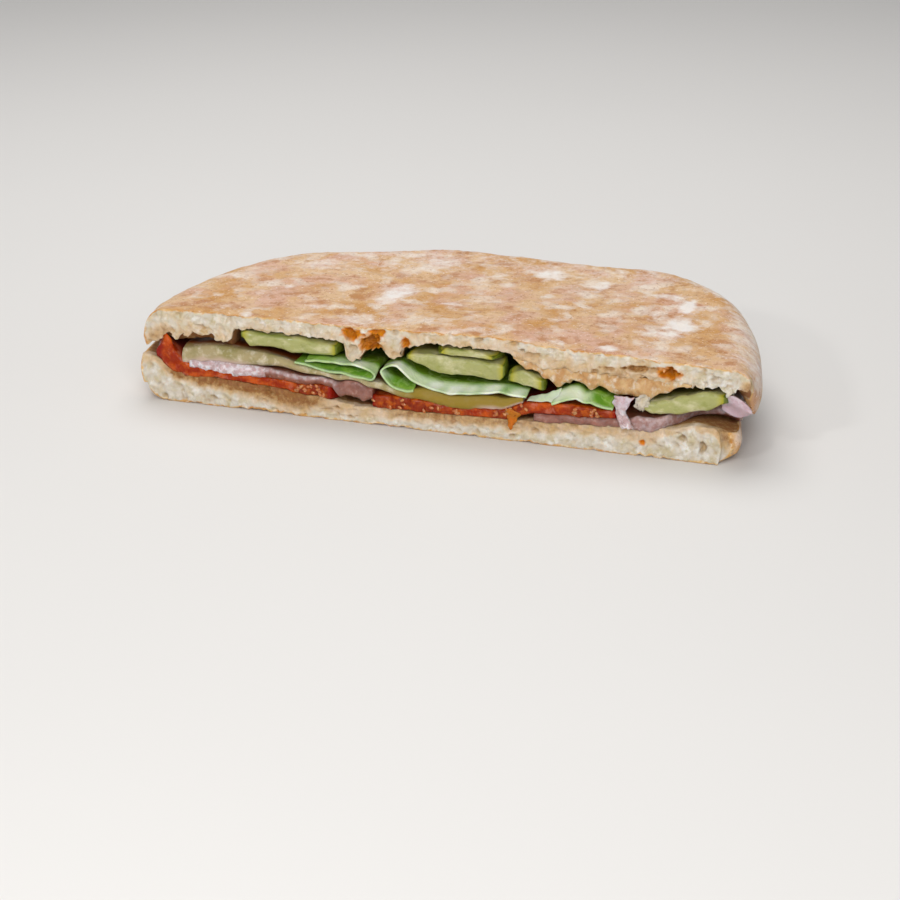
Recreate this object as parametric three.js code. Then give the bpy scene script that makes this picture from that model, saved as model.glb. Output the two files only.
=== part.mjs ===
// One half of a toasted, pressed flatbread sandwich, cut side forward.
// From the bottom up it holds tomato and ham, a slice of cheese, lettuce, gherkin slices and a
// pink dressing, between two flat breads whose rims almost meet round the back.
// Sizes are millimetres. X runs along the knife cut, Y back from it, and Z up from the table.
import * as THREE from "three";

// Driving sizes of the half loaf
const HALF_WIDTH = 86; // from the middle of the cut to the crust at either side
const DEPTH = 83.8; // from the knife cut to the crust at the back
const CUT_PINCH = 0.025; // share by which the corners of the cut are drawn in
const PINCH_REACH = 14; // how far back from the cut that goes
const CUT_FROM_MIDDLE = 41.5; // distance of the cut from the middle of the finished half
const GAP = 0.45; // free space between two touching layers

// Distance of the rim from the middle of the cut, every 15 degrees from the right end to the left
const RIM = [86.6, 86, 88.3, 92.6, 93.8, 85.2, DEPTH, 86.3, 85.9, 91.2, 89.8, 87.1, 84.9];

// The two breads
const HEEL_ROUND = 6; // rounding under the rim of the lower bread, larger at its right end
const HEEL_HEIGHT = 4.5;
const HEEL_ROUND_RIGHT = 15;
const HEEL_HEIGHT_RIGHT = 6.5;
const LIP_WIDTH = 9; // width of the raised lip inside the lower rim
const LOWER_LIP = 10.4; // height of that lip, and how far it falls from the middle to the right
const LOWER_FALL = 2.6;
const SHOULDER_ROUND = 10; // rounding over the rim of the upper bread, tighter at the cut
const SHOULDER_AT_CUT = 6.5;
const SHOULDER_Z = 19.2;
const CROWN_BEHIND = 26.4; // height of the upper crust at the back
const UPPER_LIP = 14.6; // lowest edge of the upper bread round the rim, and its fall to the right
const UPPER_FALL = 2.2;
const RIM_BULGE = 0.8; // outward swell of both crusts
const LOWER_TURN = Math.PI; // the swell follows a sine up the rim, as far as this angle
const UPPER_TURN = 2.3;
const CUT_LIFT = 9.5; // the upper bread's right edge stands this much higher at the cut
const SHOULDER_LIFT = 4.6; // and its shoulder this much
const UPPER_LIP_WIDTH = 5;
const BED_INSIDE = 6.2; // top of the lower bread away from the cut
const BED_FADE = 42; // how far back its heights at the cut fade into that
const ROOF_INSIDE = 17.6; // underside of the upper bread away from the cut
const ROOF_FADE = [14, 62]; // where its heights at the cut start and end fading into that
const CROWN_WAVE = 0.7; // how far the upper crust rises and falls behind the cut
const CROWN_WAVE_SIZE = [34, 30];
const CRUMB_RELIEF = 0.65; // how far the torn crumb stands in and out of the cut
const CRUMB_PITCH = 3.2; // size of one crag of crumb
const CRUMB_BACK = 0.4; // how far behind the cut the crumb lies on average

// Heights along the cut, as [x, z] stations from left to right
const CROWN = along([[-86, 26], [-62, 27], [-25, 27.2], [12, 28.5], [45, 27.3], [86, 26.6]]);
const BED = along([
  [-84, 12.6], [-76, 9.6], [-66, 8.4], [-50, 7.6], [-34, 6.2], [-22, 4.8], [-6, 5.1],
  [20, 5.8], [40, 6.9], [52, 7.7], [58, 7.2], [64, 8.6], [71, 10.4], [80, 9.2],
]);
const ROOF = along([
  [-84, 17.4], [-76, 19.4], [-62, 20.4], [-58.4, 19.3], [-56.6, 23.1], [-25, 23.1], [-23.6, 18.6],
  [-21, 18.4], [-19, 21.4], [-15, 22], [-11.5, 20.4], [-9.6, 20.6], [-8.4, 22.8], [-1, 24.9],
  [20, 24.9], [24, 23], [31, 21.8], [60, 21.6], [66, 21.4], [78, 21.4], [84, 20.6],
]);
const DRESSING = along([
  [12, 23], [20, 22], [26, 21], [31, 19], [34, 16.8], [36, 17.2], [38.5, 19], [41, 18.6], [43, 17.2],
  [52, 17.2], [58, 16.9], [63, 18.6], [68, 20.7],
]);

// Share of the rim's width that the lower bread has at either side, as [y, share] stations: its right
// corner is torn off at the cut, and a flap of crust sticks out just behind
const LOWER_RIGHT = along([[0, 0.918], [1.2, 0.918], [4, 0.965], [14, 0.94], [40, 0.93], [84, 0.96]]);
const LOWER_LEFT = along([[0, 1.015], [PINCH_REACH, 1]]);
const FULL_WIDTH = () => 1;

function mix(a, b, t) {
  return a + (b - a) * t;
}

// Eases from 0 at a to 1 at b.
function ease(a, b, t) {
  const k = Math.min(1, Math.max(0, (t - a) / (b - a)));
  return k * k * (3 - 2 * k);
}

// A smooth curve through [x, z] stations, with no overshoot.
function along(stations) {
  return (x) => {
    const last = stations.length - 1;
    if (x <= stations[0][0]) return stations[0][1];
    if (x >= stations[last][0]) return stations[last][1];
    const i = stations.findIndex(([at]) => at > x);
    const [[x0, z0], [x1, z1]] = [stations[i - 1], stations[i]];
    return mix(z0, z1, ease(x0, x1, x));
  };
}

// A repeatable random number from 0 to 1 for a cell of a grid.
function cell(i, j, k) {
  const s = Math.sin(i * 127.1 + j * 311.7 + k * 74.7) * 43758.5453;
  return s - Math.floor(s);
}

// Smooth noise from -1 to 1, with lumps about one unit across.
function noise(x, y, z) {
  const [i, j, k] = [Math.floor(x), Math.floor(y), Math.floor(z)];
  const [a, b, c] = [ease(0, 1, x - i), ease(0, 1, y - j), ease(0, 1, z - k)];
  const row = (dj, dk) => mix(cell(i, j + dj, k + dk), cell(i + 1, j + dj, k + dk), a);
  return 2 * mix(mix(row(0, 0), row(1, 0), b), mix(row(0, 1), row(1, 1), b), c) - 1;
}

function pinch(y) {
  return 1 - CUT_PINCH * (1 - ease(0, PINCH_REACH, y));
}

const rimCurve = new THREE.SplineCurve(RIM.map((r, i) => new THREE.Vector2(i, r)));

// Distance of the rim from the middle of the cut in the direction of (c, s).
function rimRadius(c, s) {
  return rimCurve.getPoint(Math.atan2(s, c) / Math.PI).y;
}

// Point of the half loaf's outline plane for u from -1 to 1 and v from 0 at the cut to 1.
function loafPlan(u, v) {
  const c = u * Math.sqrt(1 - (v * v) / 2);
  const s = v * Math.sqrt(1 - (u * u) / 2);
  const r = rimRadius(c, s);
  return [c * r * pinch(s * r), s * r];
}

// Distance of a point of the plan from the rim.
function fromRim(x, y) {
  const [c, s] = [x / pinch(y), Math.max(0, y)];
  return rimRadius(c, s) - Math.hypot(c, s);
}

// Quarter-ellipse fall from 0 at distance "reach" to 1 at the rim.
function rounding(d, reach) {
  const k = Math.min(1, Math.max(0, 1 - d / reach));
  return 1 - Math.sqrt(1 - k * k);
}

// A closed solid bent out of a block: point(u, v, w) places each corner, for u from -1 to 1 across,
// v from 0 at the cut to 1 at the back and w from 0 on the underside to 1 on top.
function slab(columns, rows, layers, point) {
  const geometry = new THREE.BoxGeometry(2, 1, 1, columns, rows, layers);
  const place = geometry.getAttribute("position");
  for (let i = 0; i < place.count; i++) {
    place.setXYZ(i, ...point(place.getX(i), place.getY(i) + 0.5, place.getZ(i) + 0.5));
  }
  // The block's last side is its underside, whose cells are split like those of the top.
  const corners = geometry.index.array;
  const { start, count } = geometry.groups[5];
  for (let i = start; i < start + count; i += 6) {
    const [a, b, d, , c] = corners.slice(i, i + 6);
    corners.set([a, b, c, a, c, d], i);
  }
  geometry.computeVertexNormals();
  return geometry;
}

// Draws grid lines closer together towards the rim.
function crowdRim(t) {
  return t * (1.25 - 0.25 * t * t);
}

// Draws grid lines closer together towards both the cut and the rim.
function crowdEnds(t) {
  return 0.5 - 0.5 * Math.cos(Math.PI * t);
}

// Height of the lower bread's top, which rises to a lip round the rim.
function bed(x, y) {
  const inside = mix(BED(x), BED_INSIDE, ease(0, BED_FADE, y));
  const lip = LOWER_LIP - (LOWER_FALL * x) / HALF_WIDTH;
  return mix(lip, inside, ease(0, LIP_WIDTH, fromRim(x, y)));
}

// Share of the lift that the upper bread's torn right end has at the cut.
function lifted(x, y) {
  return ease(60, 84, x) * (1 - ease(0, 8, y));
}

// Height of the upper bread's underside, which hangs down round the rim.
function roof(x, y) {
  const inside = mix(ROOF(x), ROOF_INSIDE, ease(...ROOF_FADE, y));
  const hanging = UPPER_LIP - (UPPER_FALL * x) / HALF_WIDTH + CUT_LIFT * lifted(x, y);
  return mix(hanging, inside, ease(0, UPPER_LIP_WIDTH, fromRim(x, y)));
}

function crown(x, y) {
  const wave = CROWN_WAVE * noise(x / CROWN_WAVE_SIZE[0] + 3, y / CROWN_WAVE_SIZE[1], 0.5);
  const top = mix(CROWN(x), CROWN_BEHIND, ease(0, 75, y)) + wave * ease(0, 15, y);
  const reach = mix(SHOULDER_AT_CUT, SHOULDER_ROUND, ease(0, 20, y));
  const shoulder = SHOULDER_Z + SHOULDER_LIFT * lifted(x, y);
  return mix(top, shoulder, rounding(fromRim(x, y), reach));
}

// How far behind the knife cut the torn crumb lies, for u from -1 to 1 across the loaf.
function crumb(x, z, u) {
  const relief = CRUMB_RELIEF * ease(1, 0.94, Math.abs(u));
  return CRUMB_BACK + relief * noise(x / CRUMB_PITCH, 7.3, z / CRUMB_PITCH);
}

// Corner of a bread: its crust swells a little round the rim, and the cut is torn.
function breadPoint(u, v, w, low, high, left, right, turn) {
  const [whole, back] = loafPlan(crowdRim(u), crowdEnds(v));
  const share = u < 0 ? left(back) : right(back);
  const x = whole * mix(1, share, ease(0.4, 1, Math.abs(u)));
  const z = mix(low(x, back), high(x, back), w);
  const swell = 1 + (RIM_BULGE / DEPTH) * Math.sin(turn * w);
  return [x * swell, v > 0 ? back * swell : crumb(x, z, u), z];
}

// Underside of the lower bread: flat, but rounded up to the rim, save at the cut's right corner.
function heel(x, y) {
  const toRight = ease(40, 74, x);
  const corner = toRight * (1 - ease(0, 3.5, y));
  const reach = mix(HEEL_ROUND, HEEL_ROUND_RIGHT, toRight);
  const rise = mix(HEEL_HEIGHT, HEEL_HEIGHT_RIGHT, toRight);
  return rise * rounding(fromRim(x, y), reach) * (1 - corner);
}

function lowerBread() {
  return slab(46, 12, 3, (u, v, w) =>
    breadPoint(u, v, w, heel, bed, LOWER_LEFT, LOWER_RIGHT, LOWER_TURN),
  );
}

function upperBread() {
  return slab(54, 12, 3, (u, v, w) =>
    breadPoint(u, v, w, roof, crown, FULL_WIDTH, FULL_WIDTH, UPPER_TURN),
  );
}

const BACK_ANGLE = 1.4; // where a round slice's grid ends, just short of its rearmost point

// Plan of a round slice of radius r about (cx, cy), cut off by the knife at y = 0.
function roundSlice(cx, cy, r) {
  const first = -Math.asin(cy / r);
  return {
    point: (u, v) => {
      const angle = mix(first, BACK_ANGLE, v);
      return [cx + u * r * Math.cos(angle), cy + r * Math.sin(angle)];
    },
    beside: (x) => Math.abs(x - cx) - r,
  };
}

// Plan of a slice from x0 to x1 that goes "reach" back from the knife cut and narrows there.
function squareSlice(x0, x1, reach, narrowing) {
  const half = (x1 - x0) / 2;
  return {
    point: (u, v) => [x0 + half * (1 + u * (1 - narrowing * v ** 3)), v * (reach - 3 * u * u)],
    beside: (x) => Math.abs(x - x0 - half) - half,
  };
}

// The flat fillings, in the order in which they were laid on the lower bread: how thick each is
// behind, and how thick at the cut, where the press squeezed some thin and made the cheese bulge
const FLAT = {
  ham_right: { plan: squareSlice(28, 84.5, 40, 0.45), thick: 1.6, front: () => 1.6, grid: [18, 6] },
  tomato_left: {
    plan: roundSlice(-54, 12, 27.6),
    thick: 2.4,
    front: along([[-80, 2], [-50, 1.9], [-40, 2.6], [-28, 3.4]]),
    grid: [16, 8],
  },
  tomato_right: {
    plan: roundSlice(16.5, 10, 35),
    thick: 2.8,
    front: along([[-18, 3.2], [-5, 3.3], [8, 1.8], [15, 2.1], [24, 3], [40, 2.6], [51, 1.6]]),
    grid: [18, 8],
  },
  ham_left: {
    plan: squareSlice(-70, -17, 50, 0.2),
    thick: 1.2,
    front: along([[-70, 1.1], [-62, 2], [-50, 2.2], [-40, 1.4], [-17, 1.3]]),
    grid: [18, 6],
  },
  cheese: {
    plan: squareSlice(-72, 25, 58, 0.25),
    thick: 1.5,
    front: along([
      [-72, 3], [-66, 4], [-54, 3.8], [-44, 2], [-38, 1.5], [-10, 1.5], [1, 3.4], [14, 3.4], [25, 1.7],
    ]),
    grid: [32, 7],
  },
};
const FRONT_FADE = [5, 22]; // where the thickness at the cut starts and ends fading
const SETTLE = 9; // how far beside a slice's edge the layer above it comes down
const HAM_CURL = 3.2; // rise of the ham's end where it sticks out at the right of the cut

function thickness({ thick, front }, x, y) {
  return mix(front(x), thick, ease(...FRONT_FADE, y));
}

// Top of the bread and of every filling laid before the named one.
function ground(x, y, name) {
  let z = bed(x, y) + HAM_CURL * ease(68, 84, x) * (1 - ease(5, 14, y));
  for (const [other, slice] of Object.entries(FLAT)) {
    if (other === name) break;
    z += (thickness(slice, x, y) + GAP) * ease(SETTLE, 1, slice.plan.beside(x));
  }
  return z + GAP;
}

function flatFilling(name) {
  const slice = FLAT[name];
  return slab(...slice.grid, 1, (u, v, w) => {
    const [x, y] = slice.plan.point(u, v);
    return [x, y, ground(x, y, name) + thickness(slice, x, y) * w];
  });
}

// Gherkin slices, cut through by the knife: centre and radius in plan, height of the underside at
// the centre, slope up to the right, and thickness
const GHERKINS = {
  gherkin_left: { x: -40.9, y: 4, r: 14.3, z: 18.3, slope: 0, thick: 4.2 },
  gherkin_middle: { x: 6.3, y: 1.5, r: 13.6, z: 17.3, slope: -0.02, thick: 4.4 },
  gherkin_upper: { x: 9.4, y: 5, r: 9, z: 22.1, slope: 0, thick: 2 },
  gherkin_inner: { x: 25.7, y: 2, r: 5.1, z: 15.7, slope: -0.2, thick: 3.5 },
  gherkin_right: { x: 67.6, y: 5, r: 12.4, z: 14.1, slope: 0.23, thick: 3.4 },
};

function gherkinSlice({ x, y, r, z, slope, thick }) {
  const half = Math.asin(y / r);
  const outline = new THREE.Shape();
  outline.absarc(0, y, r, -half, Math.PI + half, false);
  outline.closePath();
  const geometry = new THREE.ExtrudeGeometry(outline, {
    depth: thick,
    curveSegments: 26,
    bevelEnabled: false,
  });
  geometry.rotateY(-Math.atan(slope));
  return geometry.translate(x, 0, z);
}

// Lettuce: each leaf runs back from a folded line, given as [x, z] points along the cut
const LEAF_THICK = 0.7;
const LEAF_INSIDE = 15.2; // height to which the folds flatten out behind, by each leaf's share "kept"
const LEAVES = {
  lettuce_left: {
    fold: [
      [-39, 15.5], [-33, 15.2], [-26, 14.9], [-19, 14.5], [-16.7, 15], [-16.5, 16.1], [-18.6, 16.6],
      [-27, 17], [-35, 17.1],
    ],
    reach: 38,
    kept: 0.85,
    grid: [20, 8],
  },
  lettuce_middle: {
    fold: [
      [26, 14.2], [18, 14.9], [10, 13.9], [2, 13.7], [-5, 15.2], [-10, 18], [-14.2, 16.2],
      [-12, 13.4], [-8, 12.4], [-5.4, 13],
    ],
    reach: 54,
    kept: 0.6,
    grid: [20, 9],
  },
  lettuce_right: {
    fold: [[33, 13.9], [36, 15.7], [39, 17], [41.4, 15.6], [44, 16.2], [47, 15], [49.4, 14]],
    reach: 34,
    kept: 0.45,
    grid: [12, 7],
  },
};

function leaf(name) {
  const { fold, reach, kept, grid } = LEAVES[name];
  const line = new THREE.CatmullRomCurve3(fold.map(([x, z]) => new THREE.Vector3(x, 0, z)));
  return slab(...grid, 1, (u, v, w) => {
    const t = 0.5 + 0.5 * u;
    const at = line.getPoint(t);
    const tangent = line.getTangent(t);
    const depth = reach * v * (1 - 0.12 * u * u);
    const flat = mix(1, kept, ease(0, 14, depth));
    const wave = 0.35 * Math.sin(depth / 3.1 + 5 * t) * ease(0, 8, depth);
    const offset = LEAF_THICK * (w - 0.5);
    const z = LEAF_INSIDE + (at.z - LEAF_INSIDE) * flat + wave;
    return [at.x - tangent.z * offset, depth, z + tangent.x * offset];
  });
}

// The dressing clings under the upper bread, thick at the cut and thin behind.
const DRESSING_SPAN = [22, 70];
const DRESSING_REACH = 46;
const DRESSING_FILM = 0.6;

function dressing() {
  const [x0, x1] = DRESSING_SPAN;
  return slab(19, 7, 1, (u, v, w) => {
    const x = mix(x0, x1, 0.5 + 0.5 * u * (1 - 0.25 * v * v));
    const y = v * DRESSING_REACH;
    const top = roof(x, y) - GAP;
    const sag = Math.max(0, top - DRESSING_FILM - DRESSING(x)) * ease(1, 0.85, Math.abs(u));
    return [x, y, top - (1 - w) * (DRESSING_FILM + sag * (1 - ease(2, 12, y)))];
  });
}

// A strip of ham that hangs down in front of the cut
const STRIP = { x: 51.6, y: -1.9, top: 16.6, bottom: 7.6, width: 4.4, thick: 0.9 };

function hamStrip() {
  return slab(2, 8, 1, (u, v, w) => [
    STRIP.x + (STRIP.width / 2) * u * (1 - 0.3 * Math.sin(3 * v)) + 1.2 * Math.sin(4 * v),
    STRIP.y + 0.5 * Math.sin(5 * v) + STRIP.thick * w,
    mix(STRIP.top, STRIP.bottom, v),
  ]);
}

// Colour and roughness of each food
const FINISHES = {
  bread: [0xe3c48f, 0.85],
  tomato: [0xc2331a, 0.3],
  ham: [0xd79a92, 0.4],
  cheese: [0xe0cc8c, 0.35],
  lettuce: [0x8fbf55, 0.5],
  gherkin: [0xa9b35e, 0.3],
  dressing: [0xe5ab74, 0.5],
};

const sandwich = new THREE.Group();
sandwich.name = "toasted_sandwich_half";
sandwich.position.y = -CUT_FROM_MIDDLE;

function add(name, food, geometry) {
  const [color, roughness] = FINISHES[food];
  const material = new THREE.MeshStandardMaterial({ color, roughness, metalness: 0 });
  const mesh = new THREE.Mesh(geometry, material);
  mesh.name = name;
  sandwich.add(mesh);
}

add("bread_lower", "bread", lowerBread());
for (const name of Object.keys(FLAT)) add(name, name.split("_")[0], flatFilling(name));
for (const name of Object.keys(LEAVES)) add(name, "lettuce", leaf(name));
for (const [name, slice] of Object.entries(GHERKINS)) add(name, "gherkin", gherkinSlice(slice));
add("ham_strip", "ham", hamStrip());
add("dressing", "dressing", dressing());
add("bread_upper", "bread", upperBread());

export default sandwich;
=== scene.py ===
# %% [markdown]
# # Half of a toasted sandwich
# A flat wheat bread was filled, pressed in a hot press until its crust browned, and cut in two.
# This lesson dresses the solids of one half. Each food gets a dense mesh of its own in the place
# of its solid, and a material that starts from what the food is.
#
# The solids come packed, as a fixed frame. Loading them first gives every later cell its places.

import math

import bmesh
import bpy
from mathutils import Matrix, Vector, noise


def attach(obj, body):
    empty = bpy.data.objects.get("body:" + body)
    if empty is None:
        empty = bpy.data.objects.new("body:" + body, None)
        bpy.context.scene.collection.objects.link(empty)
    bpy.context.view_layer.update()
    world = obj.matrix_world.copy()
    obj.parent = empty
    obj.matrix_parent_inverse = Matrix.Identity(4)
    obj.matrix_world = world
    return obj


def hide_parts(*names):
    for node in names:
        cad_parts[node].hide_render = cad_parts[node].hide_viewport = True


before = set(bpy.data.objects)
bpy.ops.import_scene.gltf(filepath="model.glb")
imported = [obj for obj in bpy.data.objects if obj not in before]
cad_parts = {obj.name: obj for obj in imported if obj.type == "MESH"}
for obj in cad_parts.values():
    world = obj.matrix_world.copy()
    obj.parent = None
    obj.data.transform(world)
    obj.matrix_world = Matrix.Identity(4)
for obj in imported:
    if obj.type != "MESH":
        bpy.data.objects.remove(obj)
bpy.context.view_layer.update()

# %% [markdown]
# ## Units and small helpers
# The half is easiest to measure from its cut, in millimetres, so all shapes are worked out with
# the cut at y = 0. The last step of each piece turns that into metres in the frame of the solids.
# A few functions for easing between values keep the shape cells short.

# %% Units and easing
MM = 0.001
CUT_FROM_MIDDLE = 41.5
TO_FRAME = Matrix.Scale(MM, 4) @ Matrix.Translation((0, -CUT_FROM_MIDDLE, 0))


def mix(a, b, t):
    return a + (b - a) * t


def ease(a, b, t):
    """0 at a, 1 at b, smooth in between."""
    k = min(1.0, max(0.0, (t - a) / (b - a)))
    return k * k * (3 - 2 * k)


def fade(reach, y):
    """1 at the cut, and 0 from that distance behind it."""
    return 1 - ease(0, reach, y)


def along(stations):
    """A smooth height through stations, given as place: height."""
    places = list(stations)

    def height(x):
        if x <= places[0]:
            return stations[places[0]]
        for x0, x1 in zip(places, places[1:]):
            if x < x1:
                return mix(stations[x0], stations[x1], ease(x0, x1, x))
        return stations[places[-1]]

    return height


def between(points, place):
    """The four points round a place on a line of points, and how far it is past the second."""
    i = min(int(place), len(points) - 2)
    return [points[min(max(k, 0), len(points) - 1)] for k in range(i - 1, i + 3)], place - i


def smooth(a, b, c, d, t):
    """Value and slope of a smooth curve through a, b, c and d, at t from b to c."""
    square, cube = 2 * a - 5 * b + 4 * c - d, 3 * b - a - 3 * c + d
    return b + 0.5 * t * (c - a + t * (square + t * cube)), 0.5 * (c - a + t * (2 * square + 3 * t * cube))


def lump(x, y, z, size):
    """Smooth noise from about -1 to 1 with lumps of that many millimetres."""
    return noise.noise(Vector((x / size, y / size, z / size)))


print("one millimetre is", MM, "m, and the cut lies at y =", -CUT_FROM_MIDDLE * MM, "m")

# %% [markdown]
# ## The outline of the half loaf
# Seen from above, the loaf is a rounded half disc. Its rim is given as a distance from the middle
# of the cut, every 15 degrees, with a smooth curve between. A square grid is bent into that
# outline, so that rows of the grid follow the rim and columns stay straight near the cut.

# %% Outline of the loaf
HALF_WIDTH = 86
DEPTH = 83.8
RIM = [86.6, 86, 88.3, 92.6, 93.8, 85.2, DEPTH, 86.3, 85.9, 91.2, 89.8, 87.1, 84.9]
CUT_PINCH, PINCH_REACH = 0.025, 14
RIM_BULGE = 0.8


def pinch(y):
    return 1 - CUT_PINCH * fade(PINCH_REACH, y)


def rim_radius(c, s):
    """Distance of the rim from the middle of the cut in the direction (c, s)."""
    four, t = between(RIM, math.atan2(s, c) / math.pi * (len(RIM) - 1))
    return smooth(*four, t)[0]


def loaf_plan(u, v):
    """Plan of the loaf for u from -1 to 1 across and v from 0 at the cut to 1 at the back."""
    c = u * math.sqrt(1 - v * v / 2)
    s = v * math.sqrt(1 - u * u / 2)
    r = rim_radius(c, s)
    return c * r * pinch(s * r), s * r


def from_rim(x, y):
    c, s = x / pinch(y), max(0.0, y)
    return rim_radius(c, s) - math.hypot(c, s)


def rounding(d, reach):
    """Quarter-round fall, from 0 at that reach to 1 at the rim."""
    k = min(1.0, max(0.0, 1 - d / reach))
    return 1 - math.sqrt(1 - k * k)


corners = ((-1, 0), (-1, 1), (0, 1), (1, 1), (1, 0))
print("rim:", [tuple(round(c, 1) for c in loaf_plan(u, v)) for u, v in corners])

# %% [markdown]
# ## Heights of the two breads
# Four surfaces bound the breads: the flat underside, the bed on which the fillings lie, the roof
# over them and the crown of crust on top. Near the cut they follow the heights that it laid
# open; further back they fade to one even height.

# %% Heights of the breads
CROWN = along({-86: 26, -62: 27, -25: 27.2, 12: 28.5, 45: 27.3, 86: 26.6})
BED = along({
    -84: 12.6, -76: 9.6, -66: 8.4, -50: 7.6, -34: 6.2, -22: 4.8, -6: 5.1, 20: 5.8, 40: 6.9, 52: 7.7,
    58: 7.2, 64: 8.6, 71: 10.4, 80: 9.2,
})
ROOF = along({
    -84: 17.4, -76: 19.4, -64: 20.8, -61.4: 19.2, -58.8: 19.2, -56.6: 23.1, -25: 23.1, -24: 18.7,
    -20.8: 18.4, -19.2: 21.4, -15: 22, -11.8: 20.4, -9.4: 20.6, -8.4: 22.8, -1: 24.9, 20: 24.9, 24: 23,
    31: 21.8, 60: 21.6, 66: 21.4, 78: 21.4, 84: 20.6,
})
# Heights behind the cut, and heights at the rim
BED_BEHIND, ROOF_BEHIND, CROWN_BEHIND = 6.2, 17.6, 26.4
BED_AT_RIM, ROOF_AT_RIM, CROWN_AT_RIM = 10.4, 14.6, 19.2
# Share of its width that the lower bread keeps on each side, by the distance behind the cut
LOWER_RIGHT = along({0: 0.918, 1.2: 0.918, 4: 0.965, 14: 0.94, 40: 0.93, 84: 0.96})
LOWER_LEFT = along({0: 1.015, PINCH_REACH: 1})


def wave(x, y):
    """Slow rise and fall of the crown, with lumps one unit across."""

    def cell(i, j, k):
        s = math.sin(i * 127.1 + j * 311.7 + k * 74.7) * 43758.5453
        return s - math.floor(s)

    def level(k):
        behind = mix(cell(i, j + 1, k), cell(i + 1, j + 1, k), a)
        return mix(mix(cell(i, j, k), cell(i + 1, j, k), a), behind, b)

    i, j = math.floor(x), math.floor(y)
    a, b = ease(0, 1, x - i), ease(0, 1, y - j)
    return level(0) + level(1) - 1


def bed(x, y):
    inside = mix(BED(x), BED_BEHIND, ease(0, 42, y))
    return mix(BED_AT_RIM - 2.6 * x / HALF_WIDTH, inside, ease(0, 9, from_rim(x, y)))


def lifted(x, y):
    """Share by which the torn right end of the upper bread stands higher at the cut."""
    return ease(60, 84, x) * fade(8, y)


def roof(x, y):
    inside = mix(ROOF(x), ROOF_BEHIND, ease(14, 62, y))
    hanging = ROOF_AT_RIM - 2.2 * x / HALF_WIDTH + 9.5 * lifted(x, y)
    return mix(hanging, inside, ease(0, 5, from_rim(x, y)))


def crown(x, y):
    top = mix(CROWN(x), CROWN_BEHIND, ease(0, 75, y)) + 0.7 * wave(x / 34 + 3, y / 30) * ease(0, 15, y)
    edge = CROWN_AT_RIM + 4.6 * lifted(x, y)
    return mix(top, edge, rounding(from_rim(x, y), mix(6.5, 10, ease(0, 20, y))))


def heel(x, y):
    right = ease(40, 74, x)
    rounded = rounding(from_rim(x, y), mix(6, 15, right))
    return mix(4.5, 6.5, right) * rounded * (1 - right * fade(3.5, y))


for x in (-60, 0, 60):
    print("at x", x, "heel, bed, roof, crown:", [round(z(x, 0), 1) for z in (heel, bed, roof, crown)])

# %% [markdown]
# ## Making a piece
# Nearly every food here is a thick sheet: a bread, a slice, a leaf. Each starts as a flat grid,
# which is extruded into a block and cut into layers. A function then says where each corner of
# the block goes, and what marks it carries for the material, such as how deep under the crust it
# lies. A last step puts the mesh into the frame and hides the solid it stands for.

# %% Blocks and pieces
def block(columns, rows, layers, marks, place):
    """A block of small faces. place(u, v, w) gives each corner's x, y, z and marks."""
    bm = bmesh.new()
    bmesh.ops.create_grid(bm, x_segments=columns, y_segments=rows, size=1)
    raised = bmesh.ops.extrude_face_region(bm, geom=bm.faces[:])
    risen = [v for v in raised["geom"] if isinstance(v, bmesh.types.BMVert)]
    bmesh.ops.translate(bm, verts=risen, vec=(0, 0, 1))
    uprights = [e for e in bm.edges if abs(e.verts[0].co.z - e.verts[1].co.z) > 0.5]
    if layers > 1:
        bmesh.ops.subdivide_edges(bm, edges=uprights, cuts=layers - 1, use_grid_fill=True)
    bmesh.ops.recalc_face_normals(bm, faces=bm.faces[:])
    kept = [bm.verts.layers.float.new(mark) for mark in marks]
    for vert in bm.verts:
        x, y, z, *values = place(vert.co.x, vert.co.y * 0.5 + 0.5, vert.co.z)
        vert.co = (x, y, z)
        for layer, value in zip(kept, values):
            vert[layer] = value
    return bm


def join(bm, extra, slot):
    """Adds a second mesh to the first, with the material in that slot."""
    for face in extra.faces:
        face.material_index = slot
        face.smooth = True
    added = bpy.data.meshes.new("added")
    extra.to_mesh(added)
    extra.free()
    bm.from_mesh(added)
    bpy.data.meshes.remove(added)


def to_object(bm, name, *materials):
    """The mesh becomes an object of the scene, with its materials."""
    mesh = bpy.data.meshes.new(name)
    bm.to_mesh(mesh)
    bm.free()
    for material in materials:
        mesh.materials.append(material)
    made = bpy.data.objects.new(name, mesh)
    bpy.context.scene.collection.objects.link(made)
    return made


def finish_piece(bm, name, node, food, *materials):
    """The mesh becomes a piece in the frame, in the place of the solid it stands for."""
    bmesh.ops.transform(bm, matrix=TO_FRAME, verts=bm.verts[:])
    open_edges = sum(not e.is_manifold for e in bm.edges)
    piece = to_object(bm, name, *materials)
    piece.data.shade_smooth()
    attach(piece, "root")
    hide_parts(node)
    print(name, "faces", len(piece.data.polygons), "open edges", open_edges)


def crowd_rim(t):
    """Draws grid lines closer together towards the rim."""
    return t * (1.25 - 0.25 * t * t)


def crowd_ends(t):
    """Draws grid lines closer together towards the cut and the back."""
    return t - 0.5 * math.sin(2 * math.pi * t) / (2 * math.pi)

# %% [markdown]
# ## Materials
# Colours are given as hex values, as a colour picker shows them, and one function turns them into
# the linear values that the shader expects. Another adds a node with its settings and links.
# Patterns are drawn in millimetres: object coordinates are in metres, so they are multiplied by
# 1000 first, and a noise of scale 1/5 then has lumps about 5 mm wide. The other functions lay one
# tone on another, by a mark, in patches, or as painted shade by the distance behind the cut, and
# end a material with a grain that is too fine for the mesh.

# %% Colour and nodes
def colour(code):
    """Linear colour of an sRGB hex value."""
    parts = [int(code[i:i + 2], 16) / 255 for i in (0, 2, 4)]
    return (*(p / 12.92 if p <= 0.04045 else ((p + 0.055) / 1.055) ** 2.4 for p in parts), 1)


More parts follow.
